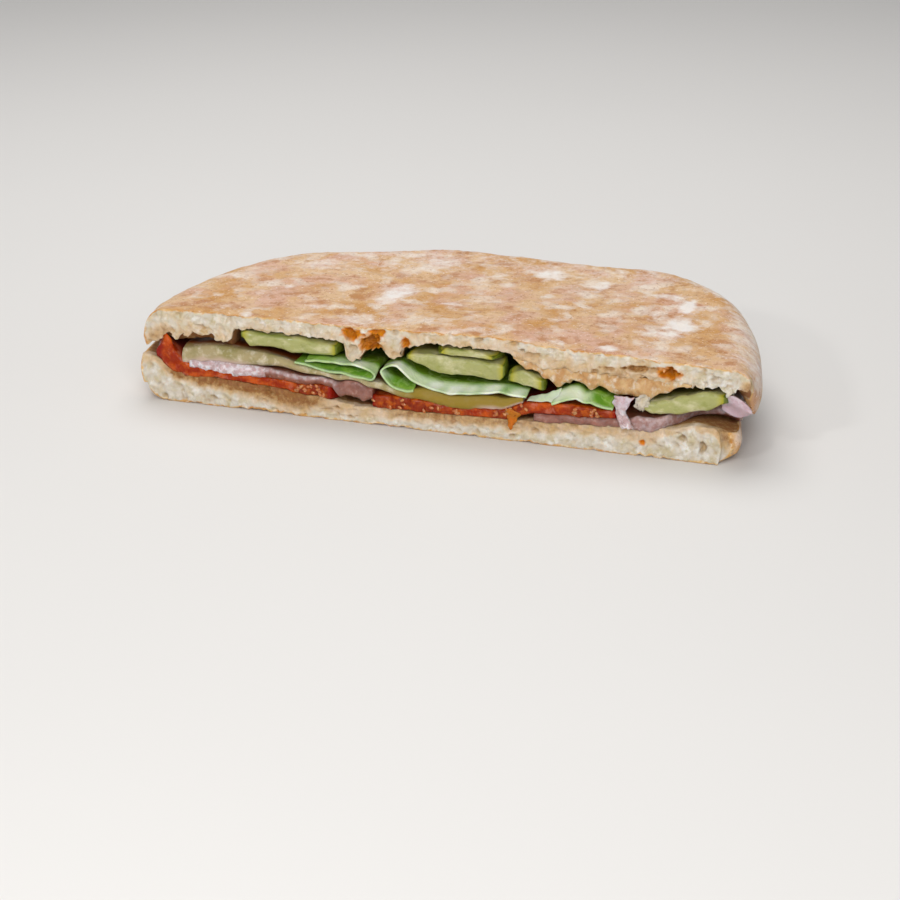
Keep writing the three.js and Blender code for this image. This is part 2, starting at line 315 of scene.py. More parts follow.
def add(tree, kind, sockets, **settings):
    """A shader node with its settings, and its sockets set to values or linked."""
    node = tree.nodes.new("ShaderNode" + kind)
    for key, value in settings.items():
        setattr(node, key, value)
    for key, value in sockets.items():
        if isinstance(value, bpy.types.NodeSocket):
            tree.links.new(value, node.inputs[key])
        else:
            node.inputs[key].default_value = value
    return node


LIGHT_GOES_IN = ("Subsurface Weight", "Subsurface Radius", "Subsurface Scale")


def new_material(name, settings, inward=(), marks=()):
    """A material with its shader's constants, coordinates in millimetres and the marks it reads.

    inward is how light goes in: how much of it, how far red, green and blue go, and the scale.
    """
    material = bpy.data.materials.new(name)
    material.use_nodes = True
    tree = material.node_tree
    shader = tree.nodes["Principled BSDF"]
    for key, value in (*settings.items(), *zip(LIGHT_GOES_IN, inward)):
        shader.inputs[key].default_value = value
    place = add(tree, "TexCoord", {})
    mm = add(tree, "Mapping", {"Vector": place.outputs["Object"], "Scale": (1000, 1000, 1000)})
    read = [add(tree, "Attribute", {}, attribute_name=mark).outputs["Fac"] for mark in marks]
    print("material:", name, "marks:", marks)
    return material, tree, shader, mm.outputs["Vector"], *read


FACTOR, FIRST, SECOND, MIXED = 0, 6, 7, 2


def laid_on(tree, tone, over, value, none=0.0, full=1.0, most=1.0):
    """A tone with another on it: none of it at one value, and the most of it at another."""
    share = add(tree, "MapRange", {"Value": value, "From Min": none, "From Max": full, "To Max": most})
    over = colour(over) if isinstance(over, str) else over
    sockets = {FACTOR: share.outputs["Result"], FIRST: tone, SECOND: over}
    return add(tree, "Mix", sockets, data_type="RGBA").outputs[MIXED]


def mottled(tree, vector, base, layers):
    """A colour with soft patches: colour, width in mm, noise at none and at full, and how much."""
    tone = colour(base)
    for code, width, none, full, most in layers:
        spread = add(tree, "TexNoise", {"Vector": vector, "Scale": 1 / width, "Detail": 5, "Roughness": 0.6})
        tone = laid_on(tree, tone, code, spread.outputs["Fac"], none, full, most)
    return tone


def deeper(tree, mm, tone, code, start, reach):
    """Painted shade: a colour that turns into another, darker one between two distances behind the cut, in
    mm.
    """
    place = add(tree, "SeparateXYZ", {"Vector": mm})
    return laid_on(tree, tone, code, place.outputs["Y"], start - CUT_FROM_MIDDLE, reach - CUT_FROM_MIDDLE)


def surfaced(tree, shader, mm, tone, grain, strength, high):
    """Ends a material with its colour and a grain: its width in mm, detail and roughness."""
    width, detail, rough = grain
    tree.links.new(tone, shader.inputs["Base Color"])
    fine = add(tree, "TexNoise", {"Vector": mm, "Scale": 1 / width, "Detail": detail, "Roughness": rough})
    bump = add(tree, "Bump", {"Height": fine.outputs["Fac"], "Strength": strength, "Distance": high})
    tree.links.new(bump.outputs["Normal"], shader.inputs["Normal"])


print("tan crust is", tuple(round(c, 3) for c in colour("cfa274")))

# %% [markdown]
# ## Bread: toasted wheat crust and open crumb
# A pressed flat bread has a dry, matt crust. It is tan, with golden blotches where it touched the
# hot plate and paler, pinkish ones where it did not, and a haze of flour over all. Inside is an
# open cream crumb, into which light goes a little way, so it gets some subsurface. One material
# does both: a mark on each corner says how many millimetres it lies under the crust, and the
# colours change with that depth. Other marks say how much painted shade lies in the pores and
# recesses, how much juice and dressing the crumb took up together with painted shade behind the
# cut and under the slices, where flour lies and where the rim is painted paler as light, and which
# cavities shine with orange oil.

# %% Bread material
BREAD_MARKS = ("depth", "pore", "soak", "flour", "oil")
bread, tree, shader, mm, depth, pore, soak, flour, oil = new_material(
    "toasted wheat crust and open crumb", {"Specular IOR Level": 0.3},
    (0.2, (3.0, 2.0, 1.2), 0.0006), BREAD_MARKS)

# crust: golden and pinkish areas on tan, then mottling, specks of bran and specks of flour
crust = mottled(tree, mm, "dcb88f", [
    ("c88f49", 15, 0.42, 0.6, 0.85), ("d7ac98", 12, 0.46, 0.6, 0.8), ("b37431", 6, 0.53, 0.65, 0.7),
    ("ecdccb", 8, 0.52, 0.64, 0.85), ("ab7448", 2, 0.5, 0.66, 0.4), ("98561f", 0.9, 0.6, 0.68, 0.7),
    ("f4eae0", 0.8, 0.6, 0.68, 0.6),
])
# flour on the crust; its mark also paints the rim paler as painted light
dust = add(tree, "TexNoise", {"Vector": mm, "Scale": 1 / 2.6, "Detail": 7, "Roughness": 0.72})
dusted = add(tree, "Math", {0: dust.outputs["Fac"], 1: 1.5, 2: flour}, operation="MULTIPLY_ADD")
crust = laid_on(tree, crust, "f3ece5", dusted.outputs["Value"], 0.98, 1.6, 0.92)

# crumb: pale, with cream and white clouds, and painted shade down in the pores and recesses
crumb = mottled(tree, mm, "d7cebf", [
    ("c6b68e", 3.4, 0.46, 0.64, 0.8), ("f0eee9", 2.6, 0.5, 0.66, 0.9), ("d8b98a", 1.3, 0.56, 0.68, 0.45)])
crumb = laid_on(tree, crumb, "a98449", pore)

# what soaked in: yellow, tan and brown juice, in clouds; these browns also carry painted shade behind the cut
# and under the slices
clouds = add(tree, "TexNoise", {"Vector": mm, "Scale": 1 / 1.5, "Detail": 4, "Roughness": 0.7})
cloudy = add(tree, "MapRange", {
    "Value": clouds.outputs["Fac"], "From Min": 0.3, "From Max": 0.7, "To Min": 0.25, "To Max": 0.55})
soaked = add(tree, "Math", {0: soak, 1: cloudy.outputs["Result"]}, operation="MULTIPLY")
juices = add(tree, "ValToRGB", {"Fac": soaked.outputs["Value"]})
ramp = juices.color_ramp
ramp.elements[0].color = colour("ead9b0")
ramp.elements[1].position = 0.6
ramp.elements[1].color = colour("884a1a")
for position, code in ((0.14, "dfb276"), (0.28, "be9661"), (0.4, "99672f")):
    ramp.elements.new(position).color = colour(code)
crumb = laid_on(tree, crumb, juices.outputs["Color"], soak, 0.04, 0.85, 0.95)

# orange oil of the dressing in the larger cavities, with painted shade down in them
orange = mottled(tree, mm, "e48600", [("eea01c", 1.6, 0.45, 0.62, 0.7), ("bc6600", 1.1, 0.52, 0.66, 0.5)])
orange = laid_on(tree, orange, "a05c08", pore)
crumb = laid_on(tree, crumb, orange, oil, 0.05, 0.8)

# the cut edge of the crust is a thin toasted line
uneven = add(tree, "TexNoise", {"Vector": mm, "Scale": 1 / 1.8, "Detail": 4})
depth_here = add(tree, "Math", {0: uneven.outputs["Fac"], 1: 1.6, 2: depth}, operation="MULTIPLY_ADD")
toasted = mottled(tree, mm, "c98a3c", [
    ("e0b878", 5, 0.44, 0.56, 0.9), ("efe0c4", 2.4, 0.5, 0.62, 0.8), ("6b3d14", 1.8, 0.58, 0.66, 0.8)])
inside = laid_on(tree, toasted, crumb, depth_here.outputs["Value"], 1.0, 1.5)
surface = laid_on(tree, crust, inside, depth, 0.03, 0.2)

# dry crust and crumb are matt, and oil makes them shine
sheen = add(tree, "MapRange", {"Value": oil, "To Min": 0.75, "To Max": 0.35})
tree.links.new(sheen.outputs["Result"], shader.inputs["Roughness"])
surfaced(tree, shader, mm, surface, grain=(0.7, 5, 0.7), strength=0.7, high=0.0005)

# %% [markdown]
# ## Torn crumb
# Cutting tears the crumb rather than slicing it, so the cut face is open: lumps of 1 to 3 mm,
# pores pressed flat that go in a millimetre, and a few larger cavities at given places. Bump alone
# would leave the face flat in a side view, so the corners of the face are really moved.

# %% Torn crumb
# Larger cavities of the cut face: x, z, half width, half height, how deep, how much juice and oil
UPPER_CAVITIES = [
    (-22.9, 25.2, 2.2, 1.6, 1.8, 0.4, 1), (-15.3, 26.4, 1.9, 1.1, 1.4, 0.4, 1),
    (-17.4, 22.9, 2.6, 2.4, 3.2, 0.5, 0.9), (-7.5, 24.2, 1.2, 1.1, 1.8, 0.4, 0.8),
    (63.6, 23.6, 2.3, 1.6, 3.0, 0.5, 0.9), (55.3, 23.9, 4.2, 0.9, 1.4, 0.95, 0),
    (27, 24.6, 2.4, 0.7, 1.2, 0.35, 0), (-66, 22.4, 1.6, 0.9, 1.2, 0.2, 0),
    (75.5, 23.2, 1.4, 0.9, 1.4, 0.1, 0), (47.5, 23.2, 2.2, 0.6, 0.8, 0.8, 0),
]
LOWER_CAVITIES = [
    (67.5, 6.2, 1.1, 1.1, 1.8, 0.1, 0), (72.8, 4.2, 1.0, 1.5, 2.0, 0.1, 0),
    (56.6, 3.8, 0.7, 0.7, 0.8, 0.4, 0.8), (61.5, 3.2, 1.3, 0.6, 1.2, 0, 0),
    (-30, 2.6, 1.8, 0.5, 1.0, 0.1, 0), (38, 3.4, 1.4, 0.6, 1.0, 0, 0),
]


def torn(x, z, under, cavities):
    """How far the crumb lies behind the cut, the painted shade of its pores and recesses, and juice and oil
    in a cavity.
    """
    inside = ease(0.1, 0.9, under)
    base = 0.35 + 0.25 * lump(x, 0.4, 1, 7) + 0.22 * lump(x, 2.4, 1, 1.5)
    coarse = 0.55 * lump(x / 1.2, 3.1, z, 3.1) + 0.5 * lump(x, 8.2, z, 1.4) + 0.42 * lump(x, 4.2, z, 0.8)
    bubbles = noise.voronoi(Vector((x / 3.4, 6.1, z / 2.2)))[0][0]
    pocket = ease(0.4, 0.22, bubbles + 0.12 * lump(x, 1.7, z, 0.9)) * ease(-0.1, 0.35, lump(x, 9.7, z, 5))
    sunk, juice, oil = 0.0, 0.0, 0.0
    for cx, cz, rx, rz, deep, juicy, oily in cavities:
        away = math.hypot((x - cx) / rx, (z - cz) / rz)
        if away < 2.2:
            ragged = away + 0.55 * lump(x, 5.5, z, 1.5) + 0.4 * lump(x, 2.5, z, 0.8)
            sunk = max(sunk, deep * ease(1.3, 0.3, ragged))
            juice = max(juice, juicy * ease(1.7, 0.6, ragged))
            oil = max(oil, oily * ease(1.6, 0.7, ragged))
    back = base + inside * (coarse + 1.1 * pocket + sunk)
    # painted shade: pores, cavities and recesses of the torn face are coloured darker
    shade = max(0.6 * pocket, min(0.9, sunk / 3), 0.6 * ease(0.15, 0.75, coarse))
    return max(back, 0.02), inside * shade, inside * juice, inside * oil


print("crumb at x = 0:", [round(torn(0, z, 2, UPPER_CAVITIES)[0], 2) for z in (25, 26, 27)])

# %% [markdown]
# ## The upper bread
# Its crown is pressed nearly flat, with soft dents. Its underside hangs in ragged teeth of crumb
# where nothing holds it up, and sinks into the hollow beside and behind the slices, so that no
# daylight shows through between the breads. A tuft of crumb has come down on the right gherkin.
# Flour lies in patches, most of them where the dough was folded, and one hooks round near the
# right end. The crust is also paler along the rim, most at the right, which is painted light, and
# paler towards the back. Behind the cut its underside is browned, partly by soak and partly as
# painted shade.

# %% Upper bread
# Flour patches on the crown: x, y, half width, half depth, strength
FLOUR = [
    (-21, 31, 5, 9, 0.85), (-3.3, 26.4, 6.5, 2, 0.6), (-57, 22, 3, 3, 0.5), (-51.8, 29.5, 1.6, 2.8, 0.6),
    (-43.4, 21.4, 2.6, 2.6, 0.5), (-37.8, 14.1, 5, 2.4, 0.5), (-69.6, 35.2, 3, 5, 0.4),
    (-50.8, 51.4, 8, 7, 0.5), (-32.3, 57.9, 4, 8, 0.55), (-18.9, 61.8, 9, 7, 0.55),
    (-53.1, 1.2, 2.4, 2.2, 0.8), (-22.3, 6.5, 7.5, 5.5, 0.6), (-61.8, 5.3, 6, 3.5, 0.35),
    (0.8, 56, 3, 3.5, 0.5), (14.1, 63.7, 4.6, 7.5, 0.75), (30.5, 58, 2.6, 9, 0.65), (31.4, 70.4, 5, 4.4, 0.5),
    (19, 41, 2, 3.2, 0.6), (27.6, 20, 2, 2.6, 0.65), (50.7, 52.8, 7.5, 2.2, 0.9), (57.6, 46.4, 2.2, 6.5, 1.1),
    (59.7, 28.8, 4, 6.5, 1.1), (56, 20.2, 6.6, 3.4, 0.7), (51, 36.5, 1.8, 5.5, 0.45),
    (46.6, 4.0, 3.6, 2.4, 0.7), (16.1, 4, 3.8, 2.4, 0.35), (53.1, 12.2, 6, 3.2, 0.45),
    (34, 4, 3.4, 1.8, 0.45), (-38, 3, 4.4, 1.8, 0.4),
]
# How much juice and dressing the crumb took up along the cut
DRESSED = along({
    -84: 0.9, -76: 0.6, -64: 0.4, -58: 0.25, -30: 0.25, -25: 0.45, -10: 0.45, -2: 0.4, 14: 0.45,
    26: 0.55, 60: 0.6, 68: 0.35, 74: 0.06,
})
# How far crumb may hang below the roof along the cut, in millimetres
FRINGE = along({
    -84: 1.6, -76: 1.2, -70: 1.1, -63: 0.5, -58: 0.4, -55.8: 0.1, -27: 0.1, -25: 1.2, -9.5: 1.2,
    -8: 0.1, 21: 0.1, 24: 0.5, 66: 0.6, 70: 1.2, 80: 1.3, 84: 0.6,
})
# How far it sinks left of the slices, just behind the cut, and behind them, round the back
SINKS_LEFT, SINKS_BACK = 2.4, 8


def flour_at(x, y):
    off_rim = from_rim(x, y)
    # paler along the rim, most at the right: painted light; and paler towards the back
    right_side = mix(0.3, 0.6, ease(20, 70, x)) * ease(14, 0, off_rim) * ease(0, 12, y)
    most = max(0.3 * ease(30, 75, y), right_side)
    for cx, cy, rx, ry, strength in FLOUR:
        away = math.hypot((x - cx) / rx, (y - cy) / ry)
        if away < 2.2:
            most = max(most, strength * ease(1.7, 0.1, away + 0.5 * lump(x, y, 2.5, 3.2)))
    return most


def upper_place(u, v, w):
    x, back = loaf_plan(crowd_rim(u), crowd_ends(v))
    off_rim = from_rim(x, back)
    near = fade(5, back)
    hang = FRINGE(x) * near * (0.5 + 1.6 * lump(x, back * 0.5, 2.2, 2.7) + 0.6 * lump(x, 4.4, 1, 1.0))
    low = roof(x, back) - hang + 0.35 * lump(x, back, 6, 3) + 0.6 * near * lump(x, back, 2, 1.2)
    low -= SINKS_LEFT * ease(1.2, 4, back) * ease(16, 9, back) * ease(-55, -59, x) * ease(3, 8, off_rim)
    behind = mix(51, 36, ease(25, 45, x))
    low -= SINKS_BACK * ease(6, 11, off_rim) * ease(25, 19, off_rim) * ease(behind, behind + 9, back)
    dents = 0.3 * lump(x * 0.7, back, 3, 6.5) + 0.16 * lump(x, back * 1.3, 7, 2.2)
    dents += 0.07 * lump(x, back, 5, 1)
    chipped = fade(2.5, back) * (0.4 * lump(x, 1, 3, 4.5) + 0.3 * lump(x, 1, 7, 1.6))
    high = crown(x, back) + dents * ease(0, 6, off_rim + 2) + min(0.1, chipped)
    z = mix(low, high, w)
    under = min(high - z, max(0.0, off_rim))
    sunk, hole, juice, oil = torn(x, z, under, UPPER_CAVITIES)
    swell = 1 + (RIM_BULGE / DEPTH) * math.sin(2.3 * w)
    x += near * ease(1, 0.4, w) * ease(84, 80, abs(x)) * (0.7 * lump(3, 6, z, 1.5) + 0.5 * lump(x, 9, z, 0.9))
    uneven = 1.4 * lump(x, back, z, 2.6) + 0.7 * lump(x, 3, z, 1.1)
    dressed = DRESSED(x) * (0.25 + 0.75 * ease(4.5, 0.4, z - low + uneven) + 0.6 * lump(x, 7, z, 3))
    # the underside behind the cut is browned, partly by soak and partly as painted shade
    wet = 1.2 * ease(0.3, 1.6, back) * ease(0.5, 0.1, w)
    lip = ease(81, 84, x) * ease(4, 1, back) * ease(24.6, 23, z)
    floured = flour_at(x, back) * ease(0.2, 1, w) if w > 0.2 else 0.0
    y = back * swell + near * mix(0.3, sunk, ease(1, 0.97, abs(u)))
    under = mix(under * ease(85, 81, x), 2.5, lip)
    return x * swell, y, z, under, hole * near, max(juice, dressed, wet, 0.75 * lip), floured, oil * near


def tuft_place(u, v, w):
    """A tuft of crumb that hangs from the roof down to the left end of the right gherkin."""
    wide = 2.1 * (1 - 0.8 * abs(2 * v - 1) ** 2.6)
    x = 57 + u * wide + 0.9 * (v - 0.3) + 0.8 * lump(u * 2, v * 7, 2, 1.6) + 0.5 * lump(u * 4, v * 9, 6, 0.9)
    y = 0.4 - 1.3 * (1 - w) * (1 - u * u) * (1 - (2 * v - 1) ** 2) + 0.7 * lump(u * 3, v * 7, w, 1.3)
    return x, y, mix(12.7, 17.6, v) + 0.8 * lump(u * 3, v * 5, 8, 1.1), 3.0, 0.1, 0.12, 0.0, 0.0


upper = block(480, 52, 28, BREAD_MARKS, upper_place)
join(upper, block(20, 20, 6, BREAD_MARKS, tuft_place), 0)
finish_piece(upper, "upper_bread", "bread_upper", "bread", bread)

# %% [markdown]
# ## The lower bread
# Its underside was pressed flat against the hot plate. The tomato has soaked the top of its crumb
# brown and yellow, and painted shade darkens it further under the slices and behind the cut. At the
# right end the crumb broke off, so that a flap of crust sticks out behind it.

# %% Lower bread
# How deep the brown of the tomato's juice and of painted shade goes into the crumb along the cut, in
# millimetres
JUICE = along({
    -84: 4, -80: 3, -77: 4.6, -62: 4.8, -50: 6.5, -40: 9, -30: 6, -20: 5.6, -8: 4.2, 4: 4, 10: 3.6,
    26: 4.4, 44: 4.2, 58: 6.4, 62: 3.6, 66: 1.6, 76: 2, 78.4: 9, 84: 9,
})
# How brown it is there, partly juice and partly painted shade under the slices: 1 is the brown of tomato
# juice
BROWNED = along({
    -84: 0.4, -79: 0.6, -74: 1, -66: 1.1, -46: 1.1, -36: 1, -27: 0.5, -17: 0.45, -8: 0.8, 14: 0.8,
    24: 0.75, 34: 0.65, 56: 0.55, 70: 0.4, 76: 0.6, 79: 0.85,
})
SHIFT = 40  # gives the lower crumb another stretch of the noise than the upper


def lower_place(u, v, w):
    across, back = loaf_plan(crowd_rim(u), crowd_ends(v))
    share = LOWER_LEFT(back) if u < 0 else LOWER_RIGHT(back)
    x = across * mix(1, share, ease(0.4, 1, abs(u)))
    near = fade(5, back)
    ragged = 0.6 * near * (0.4 + lump(x, back * 0.5, 9.1, 2.0)) * ease(60, 66, x)
    notched = max(0.0, 0.9 * lump(x, 1, 3, 5) + 0.7 * lump(x, 5, 3, 1.6))
    low = heel(x, back) + fade(2.5, back) * notched * ease(86, 80, abs(x))
    high = bed(x, back) - ragged + 0.3 * near * lump(x, back, 4, 2.2)
    z = mix(low, high, w)
    off_rim = from_rim(across, back) + (6 * ease(3, 0, back) if u > 0 else 0)
    under = min(z - low, max(0.0, off_rim))
    cavities = [(cx, cz + SHIFT, *rest) for cx, cz, *rest in LOWER_CAVITIES]
    sunk, hole, juice, oil = torn(x, z + SHIFT, under, cavities)
    swell = 1 + (RIM_BULGE / DEPTH) * math.sin(math.pi * w)
    deep = max(0.0, high - z + 0.9 * lump(x, back, z, 3.4) + 0.5 * lump(x, back, z, 1.3))
    # a brown band under the slices: partly juice, partly painted shade
    browned = BROWNED(x) * ease(JUICE(x), min(1.2, JUICE(x) / 2), deep)
    # top surfaces behind the cut are browner, partly by soak and partly as painted shade
    wet = 1.1 * ease(0.8, 3.5, back) * ease(0.8, 1, w)
    y = back * swell + near * mix(0.3, sunk, ease(1, 0.97, abs(u)))
    return x * swell, y, z, under, hole * near, max(juice, browned, wet), 0.12, oil * near


finish_piece(block(480, 48, 26, BREAD_MARKS, lower_place), "lower_bread", "bread_lower", "bread", bread)

# %% [markdown]
# ## Laying the flat fillings
# Ham, tomato and cheese were laid on the lower bread one after another, so each lies on the bread
# and on what came before it, and comes down gently beside a slice's edge. The press squeezed some
# of them thin at the cut and made the cheese bulge there. The solids keep a small gap between
# layers; here each layer is a little thicker, so that no gap shows.

# %% Where the flat fillings lie
GAP = 0.45  # between the solids of two layers
SINK, PLUMP = 0.3, 0.4  # how much lower each layer lies here than its solid, and how much thicker it is
SETTLE = 9  # how far beside a slice's edge the layer above it comes down
HAM_CURL = 3.2  # rise of the ham's end at the right of the cut


def round_slice(cx, cy, r, last=1.4):
    """Plan of a round slice that was cut off at y = 0, distance beside it, and distance to its rim.

    last is the angle at which the plan ends, just short of the slice's rearmost point.
    """
    first = -math.asin(cy / r)

    def point(u, v):
        angle = mix(first, last, v)
        return cx + u * r * math.cos(angle), cy + r * math.sin(angle)

    return point, lambda x: abs(x - cx) - r, lambda x, y: r - math.hypot(x - cx, y - cy)


def square_slice(x0, x1, reach, narrowing):
    """Plan of a slice that goes back from the cut and narrows there, and distance beside it."""
    middle, half = (x0 + x1) / 2, (x1 - x0) / 2

    def point(u, v):
        return middle + half * u * (1 - narrowing * v**3), v * (reach - 3 * u * u)

    return point, lambda x: abs(x - middle) - half


# Each slice in the order it was laid: its plan, its thickness behind, and its thickness at the cut
FLAT = {
    "ham_right": (square_slice(28, 84.5, 40, 0.45), 1.6, along({
        28: 1.6, 52: 1.6, 57: 3.1, 63: 2.6, 70: 1.5, 84: 1.4})),
    "tomato_left": (round_slice(-54, 12, 27.6), 2.4, along({-80: 2, -50: 1.9, -40: 2.6, -28: 3.4})),
    "tomato_right": (round_slice(16.5, 10, 35), 2.8, along({
        -18: 3.2, -5: 3.3, 8: 1.8, 15: 2.1, 24: 3, 40: 2.6, 51: 1.6})),
    "ham_left": (square_slice(-70, -17, 50, 0.2), 1.2, along({
        -70: 1.1, -62: 2, -50: 2.2, -40: 1.4, -17: 1.3})),
    "cheese": (square_slice(-72, 25, 58, 0.25), 1.5, along({
        -72: 3, -66: 4, -54: 4, -44: 3.2, -38: 2.7, -33: 1.8, -28: 1.5, -10: 1.5, 1: 3.4,
        14: 3.4, 25: 1.7})),
}


def thickness(name, x, y):
    _, behind, front = FLAT[name]
    return mix(front(x), behind, ease(5, 22, y))


def ground(x, y, name):
    """Top of the bread and of every slice laid before the named one."""
    z = bed(x, y) + HAM_CURL * ease(68, 84, x) * (1 - ease(5, 14, y))
    for other, (plan, _, _) in FLAT.items():
        if other == name:
            break
        z += (thickness(other, x, y) + GAP) * ease(SETTLE, 1, plan[1](x))
    return z + GAP


print({name: round(ground(0, 0, name), 1) for name in FLAT})

# %% [markdown]
# ## Tomato: ripe slices, cut and wet
# A ripe tomato slice is glossy and lets red light through. The cut shows its flesh, with paler
# seeds in orange gel. The seeds are small flattened balls pressed into the cut face, and a little
# of the gel has run down over the bread. Only the wet cut face glints: further in it is dull.

# %% Tomato material
TOMATO_MARKS = ("skin", "gel")
tomato, tree, shader, mm, skin, gel = new_material(
    "ripe tomato cut and wet", {"Specular IOR Level": 0.2}, (0.4, (4.0, 1.0, 0.5), 0.0008), TOMATO_MARKS)
flesh = mottled(tree, mm, "962a04", [("c45616", 3.4, 0.43, 0.6, 1.0), ("bc7058", 2.6, 0.55, 0.68, 0.7)])
# painted shade: the flesh turns darker red behind the cut
flesh = deeper(tree, mm, flesh, "6c1404", 0.8, 5)
jelly = mottled(tree, mm, "842606", [("c05c14", 1.9, 0.46, 0.6, 0.8), ("983818", 3, 0.48, 0.62, 0.7)])
flesh = laid_on(tree, flesh, jelly, gel)
flesh = laid_on(tree, flesh, "d9791c", gel, 1.0, 2.0)
surface = laid_on(tree, colour("8c1a0a"), flesh, skin, 0.3, 1.2)
place = add(tree, "SeparateXYZ", {"Vector": mm})
sheen = add(tree, "MapRange", {
    "Value": place.outputs["Y"], "From Min": 1 - CUT_FROM_MIDDLE, "From Max": 3 - CUT_FROM_MIDDLE,
    "To Min": 0.22, "To Max": 1.0})
tree.links.new(sheen.outputs["Result"], shader.inputs["Roughness"])
surfaced(tree, shader, mm, surface, grain=(1.1, 3, 0.5), strength=0.5, high=0.0005)

seed, tree, shader, mm = new_material(
    "tomato seed in gel", {"Roughness": 0.2, "Coat Weight": 0.6}, (0.5, (2.0, 1.2, 0.6), 0.0006))
tree.links.new(mottled(tree, mm, "b4541e", [("cf8a50", 1.5, 0.4, 0.6, 1.0)]), shader.inputs["Base Color"])

# %% Tomato slices
# Stretches of the cut where seeds show, as x from and to, and a seed's radii
SEEDY = {"tomato_left": [(-39, -28)], "tomato_right": [(-17, 9), (17, 26), (38, 47)]}
SEED_RADII = (0.7, 0.3, 0.4)


def scatter(name, count):
    """Three numbers from -1 to 1 for each of so many things, the same on every run."""
    spread = sum(ord(letter) for letter in name)
    return [noise.cell_vector(Vector((k * 3.7, spread, 0.5))) * 2 - Vector((1, 1, 1)) for k in range(count)]


def seediness(name, x):
    return max(ease(a - 2, a + 1, x) * ease(b + 2, b - 1, x) for a, b in SEEDY[name])


def tomato_face(name, x, z):
    """How far the wet face stands behind the cut, negative where it bulges."""
    return -0.15 + 0.45 * lump(x, 2, z, 2.3) + (0.15 + 0.25 * seediness(name, x)) * lump(x, 6, z, 0.95)


def tomato_slice(name):
    point, _, to_rim = FLAT[name][0]

    def place(u, v, w):
        x, y = point(u, crowd_ends(v))
        near = fade(3, y)
        corner = ease(-70, -76, x) * mix(3, 1.4 * ease(26, 16, y), ease(2, 9, y))
        curl = 2.2 * ease(-71, -80, x) * ease(22, 8, y)
        z = ground(x, y, name) - SINK + (thickness(name, x, y) + PLUMP + corner) * w + curl
        z -= 1.3 * ease(-62, -73, x) * near * (1 - w)
        x += (3 * ease(14, 18.5, z) - 1) * ease(-70, -77, x) * near
        sag = 0.35 * near * (1 - w) * lump(x, 5, 0, 3.6)
        face = near * (tomato_face(name, x, z) + 0.5 * (2 * w - 1) ** 4)
        seedy = seediness(name, x) * ease(6, 1, y)
        return x, y + face, z + sag + 0.22 * lump(x, y, 3, 3.4) * w, to_rim(x, y), seedy

    return block(150, 34, 7, TOMATO_MARKS, place)


def seeds(name, count):
    """Seeds in the cut face of a slice, each turned its own way."""
    bm = bmesh.new()
    for k, (a, b, c) in enumerate(scatter(name, count)):
        x0, x1 = SEEDY[name][k % len(SEEDY[name])]
        x = mix(x0, x1, (a + 1) / 2)
        z = ground(x, 0, name) + mix(0.1, thickness(name, x, 0) - 0.2, (b + 1) / 2)
        spot = Matrix.Translation((x, tomato_face(name, x, z) - 0.05, z))
        turned = spot @ Matrix.Rotation(c * 1.6, 4, "Y") @ Matrix.Diagonal((*SEED_RADII, 1))
        bmesh.ops.create_icosphere(bm, subdivisions=2, radius=1, matrix=turned)
    return bm


DRIP_WIDTH = along({0: 0.6, 0.2: 2.6, 0.45: 1.5, 0.8: 0.9, 1: 0.4})


def drip_place(u, v, w):
    """Gel that ran down over the lower bread."""
    x = 21.4 + 2.3 * v * (1 - v) + u * DRIP_WIDTH(v) + 0.5 * lump(u, 0, v * 6, 1.2)
    y = 0.25 - 0.45 * w * (1 - u * u) - 0.35 * (1 - v) + 0.2 * lump(x, 4, v * 6, 1.2)
    return x, y, mix(9.2, 3.4, v) + 0.5 * lump(u * 3, 3, v, 1.2), 3.0, 1.75


tomato_left = tomato_slice("tomato_left")
join(tomato_left, seeds("tomato_left", 16), 1)
finish_piece(tomato_left, "tomato_left_slice", "tomato_left", "tomato", tomato, seed)
tomato_right = tomato_slice("tomato_right")
join(tomato_right, seeds("tomato_right", 34), 1)
join(tomato_right, block(14, 22, 2, TOMATO_MARKS, drip_place), 0)
finish_piece(tomato_right, "tomato_right_slice", "tomato_right", "tomato", tomato, seed)

# %% [markdown]
# ## Ham: cooked, cut thin and moist
# Cooked ham is pink with a mauve shade, and wet enough to shine. A thin slice is translucent, and
# further behind the cut it turns brown with painted shade. Its cut edge is uneven and in places
# white with fat, so the front wanders in and out by half a millimetre, and a mark says where it is
# white. At the right a tongue of it sticks out of the bread.

# %% Ham material
HAM_MARKS = ("fatty", "lilac")
ham, tree, shader, mm, fatty, lilac = new_material("cooked ham sliced thin and moist", {
    "Roughness": 0.34, "Specular IOR Level": 0.25, "Coat Weight": 0.25, "Coat Roughness": 0.08,
}, (0.45, (3.0, 1.4, 1.1), 0.0009), HAM_MARKS)
meat = mottled(tree, mm, "7a4634", [("96604c", 3.2, 0.4, 0.62, 1.0), ("c09c8e", 1.6, 0.58, 0.7, 0.5)])
# painted shade: the meat turns brown behind the cut
meat = deeper(tree, mm, meat, "80472c", 1.5, 7)
meat = laid_on(tree, meat, "cdb4c0", lilac)
fat = mottled(tree, mm, "c2a6a6", [("e2d8dc", 1.5, 0.44, 0.57, 1.0), ("a57f7c", 2.2, 0.54, 0.66, 0.7)])
surface = laid_on(tree, meat, fat, fatty)
surfaced(tree, shader, mm, surface, grain=(1.2, 4, 0.65), strength=0.45, high=0.0004)

# %% Ham slices
# How white with fat the front edge is along the cut, and how far it hangs over what is below
FATTY = along({-71: 1, -52: 1, -46: 0.7, -30: 0.7, -26: 0.1, 50: 0.1, 56: 0.4, 84: 0.3})
HAM_HANG = along({
    -71: 0.7, -54: 0.9, -46: 0.2, -29: 0.2, -26: 2.4, -20: 2.8, -17: 1.2, 40: 0.1, 56: 0.5, 66: 0.3,
    84: 0,
})
DRAWN_IN = 7.5  # how far the front edge lies behind the cut at the right end


